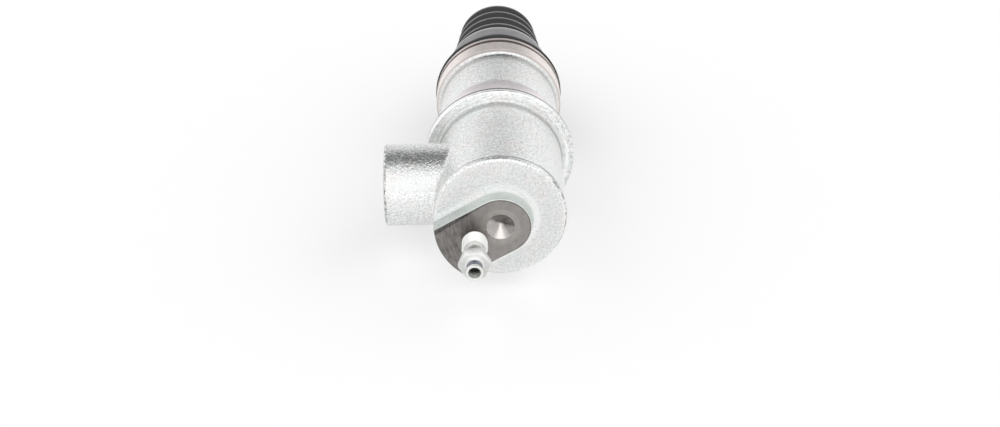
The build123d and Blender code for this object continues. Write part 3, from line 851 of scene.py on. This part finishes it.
def bright_steel():
    """Smooth zinc-plated steel, with painted shade in the bleed screw's hole and behind its barb, and painted
    light on the hexagon's upper faces.
    """
    look = bpy.context.scene.screw_look
    material, shader = new_shader("bright_zinc")
    place = shader.place()
    x, y, z = shader.parts(place)
    reach = ((x - screw_x / mm) ** 2 + (z - screw_z / mm) ** 2) ** 0.5
    from_end = y - screw_low.y / mm
    outside = 1 - from_end.rise(10.0, 12.0)
    # Painted shade in the hole and behind the barb
    hole = (1 - reach.rise(*SCREW_HOLE)) * outside * from_end.rise(0.15, 0.5)
    neck = reach.between(*SCREW_NECK, 0.1) * from_end.between(*SCREW_NECK_Y, 0.3)
    cloud = shader.grain(place, 1.6, 3)
    scratch = shader.grain(place, 0.25, 2)
    hexagon = reach.rise(*SCREW_HEXAGON) * from_end.between(*SCREW_HEXAGON_Y, 0.1)
    # Painted light on the hexagon's faces that turn upwards
    hex_top_light = hexagon * shader.facing()[2].rise(0.1, 0.7)
    tone = 0.82 + 0.26 * cloud - 0.16 * hexagon + 0.34 * hex_top_light
    colour = shader.scaled(look.plate_colour, tone)
    colour = shader.mix(neck * 0.8, colour, plain(look.neck_shade_colour))
    colour = shader.mix(hole, colour, plain(look.hole_shade_colour))
    surface(
        shader,
        base_color=colour,
        metallic=1 - 0.75 * hexagon,
        roughness=0.2 + 0.18 * scratch + 0.2 * hexagon,
        normal=shader.bump(scratch, 0.008),
    )
    return material


def plain_metal(name, colour, roughness):
    """Bare or oiled metal of the inner pieces, with faint machining."""
    material, shader = new_shader(name)
    place = shader.place()
    passes = (shader.parts(place)[1] * 16).math("SINE") * 0.5 + 0.5
    cloud = shader.grain(place, 3, 3)
    surface(
        shader,
        base_color=shader.scaled(colour, 0.9 + 0.08 * passes + 0.12 * cloud),
        metallic=1.0,
        roughness=roughness + 0.1 * cloud,
        normal=shader.bump(passes, 0.004),
    )
    return material


# In millimetres: how far the dust and painted sheen take to set in, and the painted highlight on the edge that
# stands round the sleeve's end
DUST_AND_SHEEN_FADE = 2.0
SLEEVE_EDGE = (-0.5, 0.6)


def rubber(name, colour, dust_and_sheen_colour):
    """Moulded rubber, with grey dust and a painted sheen on the faces that stand outwards from the axis, painted
    shade near the shoulder and a painted highlight on the sleeve's edge.
    """
    material, shader = new_shader(name)
    place = shader.place()
    _, along, _ = shader.facing()
    cloud = shader.grain(place, 4, 4)
    fine = shader.grain(place, 0.35, 3)
    y = shader.parts(place)[1]
    outwards = 1 - abs(along).rise(0.25, 0.75)
    form = bpy.context.scene.boot_form
    dust_and_sheen_start = (shoulder + form.dust_and_sheen_start) / mm
    sleeve_end = (shoulder + form.sleeve_length) / mm
    beyond_lip = y.past(dust_and_sheen_start, DUST_AND_SHEEN_FADE)
    sleeve_edge_highlight = (y - sleeve_end).between(*SLEEVE_EDGE, 0.4)
    # Dust and painted sheen on the faces that stand outwards, painted shade near the shoulder, and a painted
    # highlight along the sleeve's edge
    dust_and_sheen = outwards * (0.03 + 0.97 * beyond_lip) * (0.7 + 0.5 * cloud)
    dust_and_sheen = dust_and_sheen.greater(sleeve_edge_highlight)
    sheen_tint = shader.scaled(dust_and_sheen_colour, 1 + 0.9 * sleeve_edge_highlight)
    surface(
        shader,
        base_color=shader.mix(dust_and_sheen, plain(colour), sheen_tint),
        roughness=0.7 + 0.12 * fine - 0.3 * beyond_lip,
        normal=shader.bump(fine, 0.02),
    )
    return material


def moulded_plastic(name, colour):
    """Brown guide-ring plastic."""
    material, shader = new_shader(name)
    weave = shader.grain(shader.place(), 0.6, 3)
    surface(
        shader,
        base_color=shader.scaled(colour, 0.85 + 0.3 * weave),
        roughness=0.5,
        normal=shader.bump(weave, 0.01),
    )
    return material


# The port's thread starts this many pitches inside the boss's end, and its ridge is as much lower than
# its half width. The screw's shank is told from its other faces within the slacks.
PORT_THREAD_INSET = 1.2
PORT_THREAD_STRETCH = 0.6
SHANK_SLACK = 0.5 * mm
END_SLACK = 0.01 * mm


class SLAVE_OT_casting(bpy.types.Operator):
    """Give the casting its plated, sand-cast and machined faces, and its port a thread"""

    bl_idname = "slave.casting"
    bl_label = "Casting"

    def execute(self, context):
        look = context.scene.screw_look
        iron = cast_iron()
        dress("cylinder_body", iron)
        turns = port["dims"]["length_mm"] * mm / look.port_pitch - 1
        start = (body_low.x + PORT_THREAD_INSET * look.port_pitch, port_y, 0)
        thread = wound(
            "port_thread", iron,
            Matrix.Translation(start) @ Matrix.Rotation(math.pi / 2, 4, "Y"),
            Radius=port_radius, Pitch=look.port_pitch, Turns=turns, Half_Width=look.port_pitch / 2,
            Stretch=PORT_THREAD_STRETCH, Sides=THREAD_SIDES, Steps=PORT_COIL_STEPS,
        )
        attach(thread, "cylinder")
        return {"FINISHED"}


class SLAVE_OT_bleed_screw(bpy.types.Operator):
    """Cut the bleed screw's thread and give it its plate"""

    bl_idname = "slave.bleed_screw"
    bl_label = "Bleed screw"

    def execute(self, context):
        look = context.scene.screw_look
        plate = bright_steel()
        mesh = nodes["bleed_screw"].data.copy()
        screw = new_piece("bleed_screw_body", mesh, plate)
        axis = Vector((screw_x, screw_z))
        thread_front = pad_face - look.proud
        for vertex in screw.data.vertices:
            across = Vector((vertex.co.x, vertex.co.z)) - axis
            on_shank = abs(across.length - look.crest_radius) < SHANK_SLACK
            if on_shank and vertex.co.y > thread_front - END_SLACK:
                across *= look.root_radius / look.crest_radius
                vertex.co.x = axis.x + across.x
                vertex.co.z = axis.y + across.y
        height = look.crest_radius - look.root_radius
        thread = wound(
            "bleed_screw_thread", plate,
            Matrix.Translation((screw_x, thread_front + look.pitch / 2, screw_z))
            @ Matrix.Rotation(-math.pi / 2, 4, "X"),
            Radius=look.root_radius, Pitch=look.pitch, Half_Width=look.pitch / 2,
            Turns=(look.proud + look.seated) / look.pitch, Stretch=2 * height / look.pitch,
            Sides=THREAD_SIDES, Steps=COIL_STEPS,
        )
        for piece in (screw, thread):
            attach(piece, "bleed_screw")
        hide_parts("bleed_screw")
        return {"FINISHED"}


TURNED_STEPS = 128
TURNED_SPACING = 1.4 * mm
CREST_ARC = 0.3


def boot_outline(form, first, last, shift):
    """Corners (radius, y, round) of the folded wall from crest first to crest last, moved inwards."""
    edge_y = shoulder + form.sleeve_length
    corners = []
    for i in range(first, last + 1):
        radius = form.neck_radius + form.wall
        if i > 0:
            radius = form.crest_radius - (i - 1) * form.crest_step
        y = edge_y + i * form.crest_pitch
        for side in (-1, 1):
            corners.append((radius - shift, y + side * form.crest_land / 2, CREST_ARC * form.crest_land))
        valley = form.crest_radius - (i - 0.5) * form.crest_step - form.fold_depth
        for side in (-1, 1):
            y_valley = y + form.crest_pitch / 2 + side * form.crest_land / 2
            corners.append((valley - shift, y_valley, CREST_ARC * form.crest_land))
    return corners[:-2]


def boot_cut(form):
    """Radius and place of the crest at which the boot's two pieces meet."""
    i = form.folds - 1
    radius = form.crest_radius - (i - 1) * form.crest_step
    return radius, shoulder + form.sleeve_length + i * form.crest_pitch


def turned_piece(name, corners, material):
    """A piece turned about the Y axis from corners (radius, y, round)."""
    outline = closely(rounded(corners), TURNED_SPACING)
    return new_piece(name, turned_mesh(name, outline, TURNED_STEPS), material)


class SLAVE_OT_boot(bpy.types.Operator):
    """Turn the rubber boot: lip, sleeve and folds, and its end that grips the pushrod"""

    bl_idname = "slave.boot"
    bl_label = "Boot"

    def execute(self, context):
        form = context.scene.boot_form
        black = rubber("boot_rubber", form.rubber_colour, form.dust_and_sheen_colour)
        cut_radius, cut_y = boot_cut(form)
        sleeve = form.neck_radius + form.wall
        last = form.folds
        bead_y = shoulder + form.bead_setback
        outside = boot_outline(form, 0, last - 1, 0)[:-1]
        inside = boot_outline(form, 0, last - 1, form.wall)[:-1]
        bellows = [
            (boot_high.x, shoulder, 0.2 * mm),
            (boot_high.x + form.lip_swell, shoulder + 0.6 * mm, 0.3 * mm),
            (boot_high.x + form.lip_swell, shoulder + form.lip_length, 0.7 * mm),
            (sleeve, shoulder + form.lip_length, 0.4 * mm),
            *outside,
            (cut_radius, cut_y, 0),
            (cut_radius - form.wall, cut_y, 0),
            *reversed(inside),
            (form.neck_radius, bead_y + form.bead_width, 0),
            (form.bead_radius, bead_y + form.bead_width, 0.2 * mm),
            (form.bead_radius, bead_y, 0.2 * mm),
            (form.neck_radius, bead_y, 0),
            (form.neck_radius, shoulder, 0),
        ]
        wall_y = shoulder + form.sleeve_length + last * form.crest_pitch + form.crest_land / 2
        grip = form.grip_radius + form.grip_wall
        outside = boot_outline(form, last - 1, last, 0)[1:]
        inside = boot_outline(form, last - 1, last, form.wall)[1:]
        end = [
            (cut_radius - form.wall, cut_y, 0),
            (cut_radius, cut_y, 0),
            *outside,
            (grip, wall_y + form.end_wall, 0.6 * mm),
            (grip, boot_high.y, 0.5 * mm),
            (form.grip_radius, boot_high.y, 0.3 * mm),
            (form.grip_radius, wall_y, 0.2 * mm),
            *reversed(inside),
        ]
        folds = turned_piece("boot_bellows", bellows, black)
        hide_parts("boot")
        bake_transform(folds)
        tail = turned_piece("boot_end", end, black)
        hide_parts("boot")
        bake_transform(tail)
        return {"FINISHED"}


class SLAVE_OT_inner_pieces(bpy.types.Operator):
    """Wind the return spring, and give the piston, seals, rings and pushrod their finishes"""

    bl_idname = "slave.inner_pieces"
    bl_label = "Inner pieces"

    def execute(self, context):
        form = context.scene.boot_form
        steel = plain_metal("spring_steel", (0.32, 0.32, 0.33), 0.3)
        seal = rubber("seal_rubber", form.rubber_colour, form.rubber_colour)
        plate = bpy.data.materials["bright_zinc"]
        finishes = {
            "piston": plain_metal("turned_aluminium", (0.72, 0.72, 0.74), 0.28),
            "pushrod": plain_metal("rod_steel", (0.58, 0.58, 0.57), 0.25),
            "piston_wiper_seal": seal,
            "piston_cup_seal": seal,
            "piston_guide_band": moulded_plastic("guide_plastic", (0.16, 0.11, 0.06)),
            "cup_expander": plate,
            "stop_washer": plate,
            "stop_circlip": steel,
            "pushrod_clip": steel,
        }
        for node, material in finishes.items():
            dress(node, material)
        spring = context.scene.spring_form
        length = spring_high.y - spring_low.y
        coil = wound(
            "return_spring_coil", steel,
            Matrix.Translation((0, spring_low.y + spring.wire / 2, 0))
            @ Matrix.Rotation(-math.pi / 2, 4, "X"),
            Radius=spring_high.x - spring.wire / 2, Pitch=(length - spring.wire) / spring.turns,
            Turns=spring.turns, Half_Width=spring.wire / 2, Stretch=1.0,
            Sides=WIRE_SIDES, Steps=COIL_STEPS,
        )
        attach(coil, "cylinder")
        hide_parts("return_spring")
        (length - piston_stroke) / length
        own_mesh(coil)
        return {"FINISHED"}


WHITE = (1.0, 1.0, 1.0, 1.0)
FLOOR_REACH = 6
FLOOR_GAP = 0.1 * mm
SENSOR_WIDTH = 36.0

# The bright and dim parts of the room: how many degrees each one's middle leans back from straight
# up, away from the camera, and the angles from that middle at which it begins and stops to fade
SOFT_BOX = (-55, 30, 42)
CEILING_GAP = (18, 22, 34)
BACK_SHADE = (62, 14, 34)


def floor_material():
    """White floor that keeps the object's soft shadow."""
    material, shader = new_shader("white_floor")
    setup = bpy.context.scene.stage_setup
    camera_ray = shader.node("ShaderNodeLightPath", output="Is Camera Ray")
    glossy_ray = shader.node("ShaderNodeLightPath", output="Is Glossy Ray")
    clear_ray = shader.node("ShaderNodeLightPath", output="Is Transmission Ray")
    lit = shader.node("ShaderNodeBsdfDiffuse", None, {"Color": (0.97, 0.97, 0.97, 1.0)})
    white = shader.node("ShaderNodeEmission", None, {"Color": WHITE, "Strength": setup.floor_glow})
    share = camera_ray.greater(glossy_ray).greater(clear_ray) * setup.floor_white
    both = shader.node("ShaderNodeMixShader", None, {0: share, 1: lit, 2: white})
    shader.node("ShaderNodeOutputMaterial", None, {"Surface": both})
    return material


def studio_world():
    """White room with a soft box above the camera and a dim gap behind it, white to the camera."""
    setup = bpy.context.scene.stage_setup
    world = bpy.data.worlds.new("studio")
    world.use_nodes = True
    sky = Shader(world.node_tree)
    direction = sky.node("ShaderNodeTexCoord", output="Generated")

    def cap(backwards, inner, outer):
        """1 within inner degrees of a direction that leans backwards, and 0 beyond outer degrees of it."""
        lean = math.radians(backwards)
        toward = (0.0, math.sin(lean), math.cos(lean))
        along = sky.node(
            "ShaderNodeVectorMath", {"operation": "DOT_PRODUCT"}, {0: direction, 1: toward}, "Value"
        )
        return along.rise(math.cos(math.radians(outer)), math.cos(math.radians(inner)))

    light = (
        setup.surround
        + setup.soft_box * cap(*SOFT_BOX)
        - setup.ceiling_gap * cap(*CEILING_GAP)
        - setup.back_shade * cap(*BACK_SHADE)
    )
    glow = sky.node("ShaderNodeBackground", None, {"Color": WHITE, "Strength": light})
    white = sky.node("ShaderNodeBackground", None, {"Color": WHITE, "Strength": 1.0})
    camera_ray = sky.node("ShaderNodeLightPath", output="Is Camera Ray")
    both = sky.node("ShaderNodeMixShader", None, {0: camera_ray, 1: glow, 2: white})
    sky.node("ShaderNodeOutputWorld", None, {"Surface": both})
    bpy.context.scene.world = world


class SLAVE_OT_stage(bpy.types.Operator):
    """Set up the camera, the pale floor and the soft light"""

    bl_idname = "slave.stage"
    bl_label = "Stage"

    def execute(self, context):
        setup = context.scene.stage_setup
        lens = bpy.data.cameras.new("camera")
        lens.lens = setup.lens
        lens.sensor_width = SENSOR_WIDTH
        lens.clip_start, lens.clip_end = 0.01, 100.0
        camera = bpy.data.objects.new("camera", lens)
        camera.location = setup.camera_place
        tilt = Matrix.Rotation(math.pi / 2 - setup.pitch, 3, "X")
        camera.rotation_euler = (tilt @ Matrix.Rotation(-setup.roll, 3, "Z")).to_euler()
        context.scene.collection.objects.link(camera)
        context.scene.camera = camera
        floor_z = -flange_radius - FLOOR_GAP
        sides = ((-1, -1), (1, -1), (1, 1), (-1, 1))
        corners = [(x * FLOOR_REACH, y * FLOOR_REACH, floor_z) for x, y in sides]
        plane = bpy.data.meshes.new("floor")
        plane.from_pydata(corners, [], [(0, 1, 2, 3)])
        floor = bpy.data.objects.new("floor", plane)
        plane.materials.append(floor_material())
        context.scene.collection.objects.link(floor)
        studio_world()
        context.scene.view_settings.view_transform = "Standard"
        return {"FINISHED"}


PIECES = (
    SLAVE_OT_casting,
    SLAVE_OT_bleed_screw,
    SLAVE_OT_boot,
    SLAVE_OT_inner_pieces,
    SLAVE_OT_stage,
)


class SLAVE_PT_panel(bpy.types.Panel):
    """Lists the steps that dress the cylinder"""

    bl_label = "Slave cylinder"
    bl_space_type = "VIEW_3D"
    bl_region_type = "UI"
    bl_category = "Slave cylinder"

    def draw(self, context):
        for operator in PIECES:
            self.layout.operator(operator.bl_idname)


GROUPS = {
    "casting_look": CastingLook,
    "screw_look": ScrewLook,
    "boot_form": BootForm,
    "spring_form": SpringForm,
    "stage_setup": StageSetup,
}


def register():
    for name, group in GROUPS.items():
        bpy.utils.register_class(group)
        setattr(bpy.types.Scene, name, bpy.props.PointerProperty(type=group))
    for operator in PIECES:
        bpy.utils.register_class(operator)
    bpy.utils.register_class(SLAVE_PT_panel)


def unregister():
    bpy.utils.unregister_class(SLAVE_PT_panel)
    for operator in reversed(PIECES):
        bpy.utils.unregister_class(operator)
    for name, group in GROUPS.items():
        delattr(bpy.types.Scene, name)
        bpy.utils.unregister_class(group)


def main():
    register()
    bpy.ops.slave.casting()
    bpy.ops.slave.bleed_screw()
    bpy.ops.slave.boot()
    bpy.ops.slave.inner_pieces()
    bpy.ops.slave.stage()


if __name__ == "__main__":
    main()
